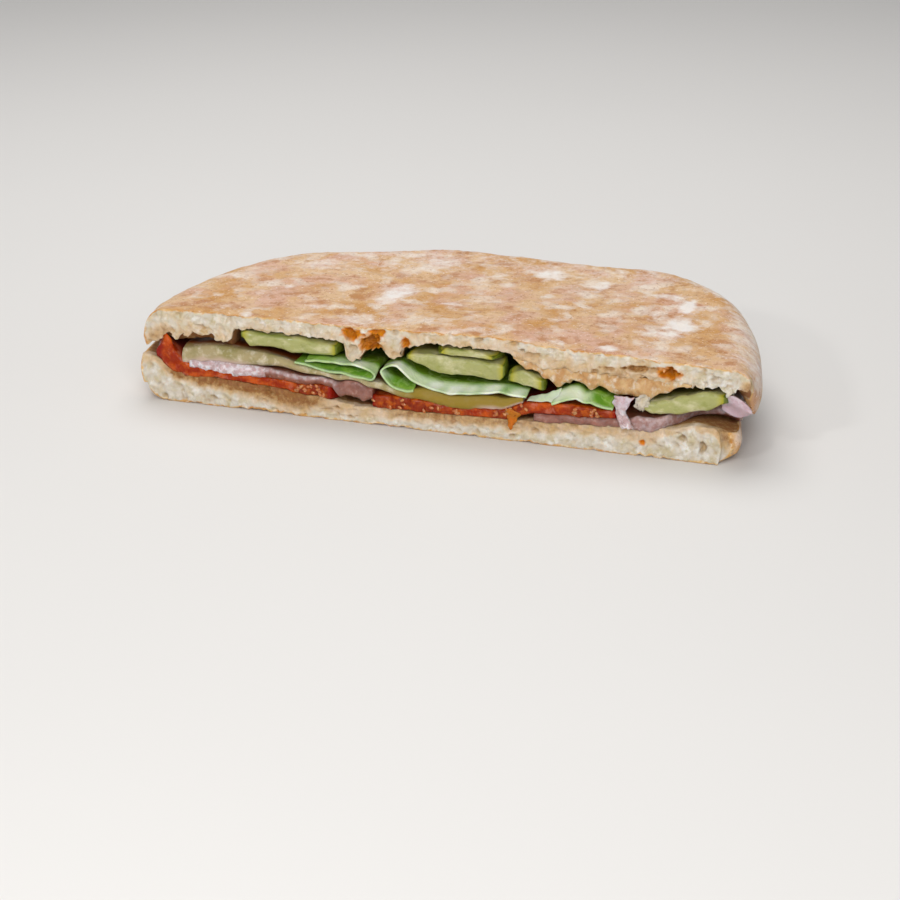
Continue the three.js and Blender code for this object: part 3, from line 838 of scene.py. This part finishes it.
def flap_place(u, v, w):
    """The curled tongue of ham at the right end, standing on edge behind the gherkin."""
    s = 0.5 + 0.5 * u
    low = 14.6 - 1.9 * math.sin(math.pi * s)
    high = 14.8 + 4.5 * math.sin(math.pi * min(1.0, 0.25 + 0.72 * s)) ** 0.8
    y = 1.6 - 1.2 * s + 1.6 * (1 - v) + 0.6 * math.sin(4 * v + 3 * s) + 0.7 * w
    return mix(77.4, 85.8, s) + 0.3 * lump(s * 4, v * 4, 1, 1), y, mix(low, high, v), 0.4 * v, 0.85


def ham_slice(name, extra_place=None):
    point = FLAT[name][0][0]

    def place(u, v, w):
        x, y = point(u, v * (0.4 + 0.6 * v))
        near = fade(2.5, y)
        hang = HAM_HANG(x) * near * (1 - w)
        z = ground(x, y, name) - SINK + (thickness(name, x, y) + PLUMP) * w - hang
        z += 0.25 * lump(x, y, 4, 5) + 0.35 * near * lump(x, 6, 2, 1.8) + 1.6 * ease(76, 84, x) * w
        ragged = 0.5 * lump(x, 1, z, 2.6) + 0.4 * lump(x, 7, z, 1.0)
        thin_line = ease(0.5, 0.9, w) if -48 < x < -28 else 1.0
        white = FATTY(x) * thin_line * (1 - ease(0.4, 1.6, y))
        drawn_in = DRAWN_IN * ease(61, 71, x)
        x = min(x, mix(x, 78, 0.55))
        y += near * (ragged + 0.5 * (2 * w - 1) ** 2 - 0.3) + drawn_in * fade(12, y)
        return x, y, z, white, 0.8 * ease(73, 79, x) * ease(12, 5, y)

    bm = block(140, 30, 5, HAM_MARKS, place)
    if extra_place:
        join(bm, block(18, 18, 2, HAM_MARKS, extra_place), 0)
    finish_piece(bm, name + "_slice", name, "ham", ham)


ham_slice("ham_left")
ham_slice("ham_right", flap_place)

STRIP_WIDTH = along({0: 2.6, 0.25: 2.2, 0.5: 1.3, 0.8: 1.7, 1: 1.5})


def strip_place(u, v, w):
    """A torn strip that hangs down in front of the cut, wide at the top and ragged at its sides."""
    side = 1 + 0.3 * lump(u, v * 9, 2, 1.3)
    x = 52.3 + STRIP_WIDTH(v) * u * side - 0.9 * math.sin(3.4 * v) + 1.2 * v * v
    y = -1.5 + 0.4 * math.sin(5 * v) + 0.8 * w + 0.5 * u * u + 0.4 * lump(u * 3, v * 9, 2, 1.4)
    z = mix(16.4, 8, v) + 0.5 * lump(u * 2, 3, v, 0.8)
    return x, y, z, 0.5 + 0.5 * ease(0.3, 0.6, v), 0.9 * ease(0.55, 0.2, v)


finish_piece(block(18, 40, 2, HAM_MARKS, strip_place), "ham_strip_torn", "ham_strip", "ham", ham)

# %% [markdown]
# ## Cheese: young and softened
# The press softened the cheese without melting it away, so its edge is rounded, bulges at the cut
# and sags a little over what lies under it. It is a pale, faintly green yellow, deeper in the
# middle, partly its own colour and partly painted shade, smooth and slightly greasy. Behind the cut
# painted shade darkens it.

# %% Cheese
CHEESE_MARKS = ("ripe", "blush")
cheese, tree, shader, mm, ripe, blush = new_material(
    "young cheese softened in the press", {"Roughness": 0.45, "Specular IOR Level": 0.12},
    (0.5, (3.0, 2.4, 1.2), 0.001), CHEESE_MARKS)
curd = mottled(tree, mm, "ad9d76", [("968d5c", 5, 0.44, 0.6, 0.9), ("d2c8b2", 2.6, 0.5, 0.66, 0.8)])
# the middle of the cheese is a deeper yellow, partly its own colour and partly painted shade
curd = laid_on(tree, curd, "967d28", ripe)
# painted shade: the cheese turns dark brown behind the cut
curd = deeper(tree, mm, curd, "6e3410", 0.9, 4)
surface = laid_on(tree, curd, "d8bdae", blush)
surfaced(tree, shader, mm, surface, grain=(2.4, 3, 0.5), strength=0.3, high=0.0006)
# How far the front edge hangs over what is below, along the cut
CHEESE_HANG = along({
    -73: 2.2, -69: 0.9, -58: 0.5, -50: -0.4, -42: -1.6, -36: -0.9, -12: 0, 4: 0.9, 12: 0.8, 25: 0,
})


def cheese_place(u, v, w):
    x, y = FLAT["cheese"][0][0](u, v * (0.35 + 0.65 * v))
    near = fade(4, y)
    full = thickness("cheese", x, y)
    z = ground(x, y, "cheese") - SINK + (full + SINK) * w - CHEESE_HANG(x) * near * (1 - 0.6 * w)
    z += 0.25 * lump(x, y, 6, 7)
    rounded = 0.3 * full * (2 * w - 1) ** 2 * fade(3, y)
    bulge = 0.4 * lump(x, 4, 1, 6) - 0.4
    ends = 0.8 * max(ease(10, 16, x), ease(-50, -56, x))
    blushing = ends * ease(0.5, 0.15, w + 0.2 * lump(x, 3, w, 4)) * near
    return x, y + near * bulge + rounded, z, 0.9 * ease(-16, -4, x), blushing


finish_piece(block(190, 36, 8, CHEESE_MARKS, cheese_place), "cheese_slice", "cheese", "cheese", cheese)

# %% [markdown]
# ## Lettuce: a soft green leaf
# The leaves were laid in folds and then cut across, so each is a folded line that runs back
# into the sandwich. A leaf is thin enough to glow where light comes through. Along stretches of
# its fold it is nearly white near the cut, partly its pale rib and partly painted light, and
# painted shade darkens it further behind the cut. Veins and blisters come from real ripples and
# from a cell pattern of about 5 mm.

# %% Lettuce material
lettuce, tree, shader, mm, pale = new_material("soft green lettuce leaf", {
    "Roughness": 0.4, "Specular IOR Level": 0.2, "Coat Weight": 0.12, "Coat Roughness": 0.12,
}, (0.4, (1.4, 2.0, 0.6), 0.0006), ("pale",))
blade = mottled(tree, mm, "659628", [("93b84a", 4, 0.42, 0.62, 1.0)])
# painted shade: the leaf turns a darker green behind the cut
blade = deeper(tree, mm, blade, "5f7c18", 1.5, 5)
blade = laid_on(tree, blade, "eaf4dc", pale)
bent = add(tree, "TexNoise", {"Vector": mm, "Scale": 1 / 3, "Detail": 2})
wander = add(tree, "VectorMath", {0: bent.outputs["Color"], 1: (6, 6, 6), 2: mm}, operation="MULTIPLY_ADD")
cells = {"Vector": wander.outputs["Vector"], "Scale": 1 / 5}
edge = add(tree, "TexVoronoi", cells, feature="DISTANCE_TO_EDGE").outputs["Distance"]
vein = add(tree, "MapRange", {"Value": edge, "From Max": 0.1, "To Min": 0.18, "To Max": 0.0})
surface = laid_on(tree, blade, "d2e6a4", vein.outputs["Result"])
tree.links.new(surface, shader.inputs["Base Color"])
blister = add(tree, "Bump", {"Height": edge, "Strength": 0.4, "Distance": 0.0008})
tree.links.new(blister.outputs["Normal"], shader.inputs["Normal"])

# %% Lettuce leaves
# Each leaf: points of its folded line along the cut, how far it runs back, share of the fold kept
# behind, the stretch of the line that is pale and how pale, partly its rib and partly painted light,
# and how far the front droops along it
LEAVES = {
    "lettuce_left": (
        [[-39, 15.7], [-33, 15.2], [-26, 14.9], [-19, 14.5], [-16.7, 15], [-16.5, 16.1], [-18.6, 16.6],
         [-27, 17.1], [-36, 17.1]],
        38, 0.85, (0.5, 0.85, 0.8), along({0: 0, 0.25: 0.9, 0.42: 1.7, 0.62: 1.5, 0.8: 0.2, 1: 0.6})),
    "lettuce_middle": (
        [[26, 14.2], [18, 14.9], [10, 13.9], [2, 13.7], [-5, 15.2], [-10, 18], [-14.2, 16.2],
         [-12, 13.4], [-8, 12.4], [-5.4, 13]],
        54, 0.6, (0.0, 0.72, 1.05), along({
            0: 1.2, 0.3: 1.7, 0.45: 1.4, 0.56: 0.1, 0.7: 0.2, 0.84: 1.3, 1: 1.7})),
    "lettuce_right": (
        [[33, 13.9], [36, 15.7], [39, 17], [41.4, 15.6], [44, 16.2], [47, 15], [49.4, 14]],
        34, 0.45, (0.05, 0.6, 0.65), along({0: 2.0, 0.3: 2.8, 0.5: 2.0, 0.7: 2.8, 1: 1.8})),
}
FOLDED_TO = 15.2  # height to which a fold flattens behind the cut
LEAF_THICK = 0.5


def on_line(points, t):
    """Place and direction on a smooth line through the points, for t from 0 to 1."""
    four, k = between(points, min(max(t, 0.0), 1.0) * (len(points) - 1))
    spot, slope = zip(*(smooth(*values, k) for values in zip(*four)))
    length = math.hypot(*slope)
    return spot, [s / length for s in slope]


def leaf(name, extra_place=None):
    points, reach, kept, (pale_from, pale_to, paleness), droop = LEAVES[name]

    def place(u, v, w):
        t = 0.5 + 0.5 * u
        (x, z), (along_x, along_z) = on_line(points, t)
        back = reach * v * (0.3 + 0.7 * v) * (1 - 0.12 * u * u)
        flat = mix(1, kept, ease(0, 14, back))
        ripple = 0.3 * math.sin(back / 3.1 + 5 * t) * ease(0, 8, back) + 0.3 * lump(x, back, z, 3.4)
        offset = LEAF_THICK * (w - 0.5) + ripple
        front = fade(3, back) * (0.6 * lump(t * 30, 1, 4, 3.4) - 0.7)
        # lit: pale near the cut along a stretch of the fold, partly the pale rib and partly painted light
        lit = paleness * ease(pale_from - 0.1, pale_from + 0.06, t) * ease(pale_to + 0.1, pale_to - 0.06, t)
        lit *= (0.75 + 0.9 * lump(x, back, z, 3.6)) * ease(3.4, 1.7, back)
        cut_edge = 0.36 * ease(0.8, 0.2, back)
        z = FOLDED_TO + (z - FOLDED_TO) * flat - droop(t) * fade(3.6, back)
        return x - along_z * offset, back + front, z + along_x * offset, max(lit, cut_edge)

    bm = block(150, 44, 1, ("pale",), place)
    if extra_place:
        join(bm, block(24, 12, 2, ("pale",), extra_place), 0)
    finish_piece(bm, name + "_leaf", name, "lettuce", lettuce)


def rib_place(u, v, w):
    """A pale end of rib beside the right leaf."""
    s = 0.5 + 0.5 * u
    middle, half = mix(12.4, 14, s), 0.15 + 1.5 * s ** 1.4
    y = -0.4 + 2.2 * v + 0.7 * w + 0.6 * u + 0.3 * lump(s * 9, v * 3, 2, 1.4)
    return mix(26.4, 34.8, s), y, middle + half * (2 * v - 1) + 0.4 * lump(s * 9, v, 5, 1.5), 0.7


leaf("lettuce_left")
leaf("lettuce_middle")
leaf("lettuce_right", rib_place)

# %% [markdown]
# ## Gherkin: pickled slices
# A pickled gherkin is translucent and olive. Its skin is a thin dark green band, the flesh beside
# it is yellow-green, and the wet middle is paler. Each slice is a disc that was cut through,
# so the cut face shows all three from end to end. Its edges are a little rounded and very wet.

# %% Gherkin material
GHERKIN_MARKS = ("skin", "top")
gherkin, tree, shader, mm, skin, top = new_material("pickled gherkin with a green skin", {
    "Roughness": 0.3, "Specular IOR Level": 0.25, "Coat Weight": 0.25, "Coat Roughness": 0.06,
}, (0.55, (2.6, 2.4, 1.2), 0.0012), GHERKIN_MARKS)
stretched = add(tree, "Mapping", {"Vector": mm, "Scale": (0.7, 1, 1.2)}).outputs["Vector"]
flesh = mottled(tree, stretched, "a9a96c", [
    ("cbc69c", 3.6, 0.46, 0.64, 0.9), ("8f9448", 2.2, 0.52, 0.66, 0.6)])
# painted shade: the flesh turns darker olive behind the cut
flesh = deeper(tree, mm, flesh, "6d6c1e", 1.0, 7)
from_skin = add(tree, "Math", {0: skin, 1: 4.0}, operation="DIVIDE")
bands = add(tree, "ValToRGB", {"Fac": from_skin.outputs["Value"]})
ramp = bands.color_ramp
for end, position, code in ((0, 0.05, "5f6a1c"), (1, 0.5, "b5b058")):
    ramp.elements[end].position = position
    ramp.elements[end].color = colour(code)
ramp.elements.new(0.16).color = colour("a8a22e")
flesh = laid_on(tree, bands.outputs["Color"], flesh, skin, 0.8, 2.4)
surface = laid_on(tree, flesh, "707a2c", top)
surfaced(tree, shader, mm, surface, grain=(1.6, 3, 0.5), strength=0.35, high=0.0005)

# %% Gherkin slices
# x and y of the middle, radius, height of the underside, slope to the right, thickness behind, how
# much skin shows along the top edge, and the underside and top of the cut face
GHERKINS = {
    "gherkin_left": (-40.9, 4, 14.3, 18.3, 0, 4.2, 0.9, along({
        -54: 20.6, -52.2: 18.5, -46.6: 19, -38.8: 18, -28: 18.3, -26.8: 19.2}), along({
        -54: 22.5, -46: 22.3, -38: 22.3, -35: 21.7, -27: 21.3})),
    "gherkin_middle": (6.3, 1.5, 13.6, 17.3, -0.02, 4.4, 0.15, along({
        -7.2: 19.8, -4: 18.6, 2.2: 16.7, 9.6: 17, 18: 16.5, 19.8: 17.6}), along({
        -7.2: 21.3, 0: 21.7, 8: 21.3, 19.8: 20.9})),
    "gherkin_upper": (9.4, 5, 9, 22.1, 0, 2, 0.9, along({1.9: 22.2, 17: 22.1}), along({
        1.9: 22.9, 3.4: 23.9, 8: 24.1, 14: 23.6, 17: 23})),
    "gherkin_inner": (25.7, 2, 5.1, 15.7, -0.2, 3.5, 0.3, along({21: 16.7, 26: 15.9, 30.4: 15}), along({
        21: 19.2, 24.6: 20, 30.4: 18.2})),
    "gherkin_right": (67.6, 5, 12.4, 14.1, 0.23, 3.4, 0.3, along({
        56.2: 13.3, 60.3: 12.2, 66: 12.7, 73.4: 14.5, 78.9: 16.8}), along({
        56.2: 14, 59.4: 15.2, 63.6: 16.2, 68.4: 18.1, 74: 19.5, 78.9: 19.1})),
}


def gherkin_slice(name):
    cx, cy, r, low, slope, thick, skinned, under_face, over_face = GHERKINS[name]
    point, _, to_rim = round_slice(cx, cy, r, 1.5)

    def place(u, v, w):
        x, y = point(u, crowd_ends(v))
        off_rim = to_rim(x, y)
        edge = 0.4 * (2 * w - 1) ** 6 * ease(1.4, 0, off_rim)
        x, y = mix(x, cx, edge / r), mix(y, cy, edge / r)
        near = fade(2, y)
        opened = 1 - ease(0.5, 6, y)
        bottom = mix(low + slope * (x - cx), under_face(x), opened)
        top = mix(low + slope * (x - cx) + thick, over_face(x), opened)
        z = mix(bottom, top, w) + 0.25 * lump(x, y, w * 3, 3.2) + 0.12 * lump(x, y, w * 3, 1.2)
        face = near * (0.05 + 0.3 * lump(x, 3, z, 2.4) + 0.6 * (2 * w - 1) ** 4)
        streak = skinned * ease(0.75, 1.0, w) * ease(-0.1, 0.3, lump(x, 2, 9, 7)) * (1 - ease(0.3, 1.4, y))
        return x, y + face, z, off_rim, streak

    finish_piece(block(90, 24, 9, GHERKIN_MARKS, place), name + "_slice", name, "gherkin", gherkin)


for name in GHERKINS:
    gherkin_slice(name)

# %% [markdown]
# ## Dressing: creamy, with crumb in it
# The dressing is a thick sauce of mayonnaise and tomato. It clings under the upper bread and has
# soaked into the crumb, so it looks granular: orange-tan with paler flecks, lumpy at 1 to 3 mm,
# and only slightly shiny.

# %% Dressing
dressing, tree, shader, mm = new_material(
    "creamy dressing with soaked crumb", {"Roughness": 0.42}, (0.35, (3.0, 1.8, 1.0), 0.0008))
cream = mottled(tree, mm, "c4935a", [
    ("d8b482", 3.2, 0.42, 0.6, 1.0), ("9a682e", 1.8, 0.54, 0.66, 0.7), ("ecdcc4", 1.8, 0.52, 0.66, 0.8)])
# painted shade: the dressing turns darker brown behind the cut
cream = deeper(tree, mm, cream, "8a4f1c", 1.5, 8)
surfaced(tree, shader, mm, cream, grain=(0.8, 4, 0.7), strength=0.8, high=0.0005)
# How low it hangs along the cut, and how thick it is at least
DRESSING = along({
    12: 23, 20: 22, 26: 21, 31: 18.4, 34: 16.4, 36.4: 17.4, 38.5: 18.8, 41: 17.8, 43: 16.8, 45.4: 17.9,
    50: 16.2, 58: 16.2, 63: 18, 68: 20.4,
})
FILM = 0.6


def dressing_place(u, v, w):
    x = mix(22, 70, 0.5 + 0.5 * u * (1 - 0.25 * v * v))
    y = 46 * v * (0.3 + 0.7 * v)
    top = roof(x, y) - 0.1
    sag = max(0.0, top - FILM - DRESSING(x)) * ease(1, 0.85, abs(u))
    z = top - (1 - w) * (FILM + sag * (1 - ease(2, 12, y)))
    lumpy = 0.9 * lump(x, 1, z, 3.4) + 0.5 * lump(x, 5, z, 1.4) + 0.9 * max(0.0, 1 - 2 * w) ** 3 + 0.5 * w
    hanging = (1 - w) * (0.9 * lump(x, y, 2, 3.2) + 0.3 * lump(x, y, 8, 1.3))
    return x, y + fade(4, y) * (lumpy + 0.1), z + hanging


finish_piece(block(170, 30, 16, (), dressing_place), "dressing_lumpy", "dressing", "dressing", dressing)

# %% [markdown]
# ## Light, floor and camera
# The scene is a plain one: a pale floor, a large soft light overhead, a stronger soft one in front,
# and a small one that puts the sparkle on wet edges. The camera looks at the cut from 21.5 degrees
# above the floor and 18 degrees round to the right, with a long lens, as the photograph does.

# %% Floor and lights
floor_material, tree, shader, mm = new_material("pale matt floor", {"Roughness": 0.8})
tone = add(tree, "TexNoise", {"Vector": mm, "Scale": 1 / 300, "Detail": 2})
shade = laid_on(tree, colour("dddad6"), "e3e0dc", tone.outputs["Fac"])
tree.links.new(shade, shader.inputs["Base Color"])
bm = bmesh.new()
bmesh.ops.create_grid(bm, x_segments=1, y_segments=1, size=3)
floor = to_object(bm, "floor", floor_material)


def stand(name, data, place, looking):
    """A light or a camera at a place, looking along a direction."""
    made = bpy.data.objects.new(name, data)
    made.location = place
    made.rotation_euler = looking.to_track_quat("-Z", "Y").to_euler()
    bpy.context.scene.collection.objects.link(made)
    print(name, "at", [round(c, 3) for c in place])
    return made


# Each light: its power, its width, where it hangs and what it is aimed at
LIGHTS = {
    "overhead": (2.7, 0.6, (-0.12, 0.18, 0.6), (0, 0, 0)),
    "front": (3.8, 0.5, (0.25, -0.7, 0.45), (0, -0.02, 0.01)),
    "sparkle": (0.8, 0.06, (-0.2, -0.6, 0.35), (0, -0.04, 0.01)),
}
for name, (power, width, place, aim) in LIGHTS.items():
    light = bpy.data.lights.new(name, "AREA")
    light.energy = power
    light.shape = "DISK"
    light.size = width
    stand(name, light, place, Vector(aim) - Vector(place))
world = bpy.data.worlds.new("pale room")
world.use_nodes = True
background = world.node_tree.nodes["Background"]
background.inputs["Color"].default_value = colour("eef0f4")
background.inputs["Strength"].default_value = 0.26
bpy.context.scene.world = world
bpy.context.scene.view_settings.view_transform = "Standard"

# %% Camera
ROUND_TO_RIGHT = math.radians(18.19)
ABOVE = math.radians(21.5)
AWAY = 0.7
aim = Vector((0.00483, -0.0415, -0.00453))
towards = Vector((
    math.sin(ROUND_TO_RIGHT) * math.cos(ABOVE), -math.cos(ROUND_TO_RIGHT) * math.cos(ABOVE), math.sin(ABOVE)))
lens = bpy.data.cameras.new("camera")
lens.lens = 104.8
lens.sensor_width = 36
lens.clip_start = 0.01
bpy.context.scene.camera = stand("camera", lens, aim + towards * AWAY, -towards)
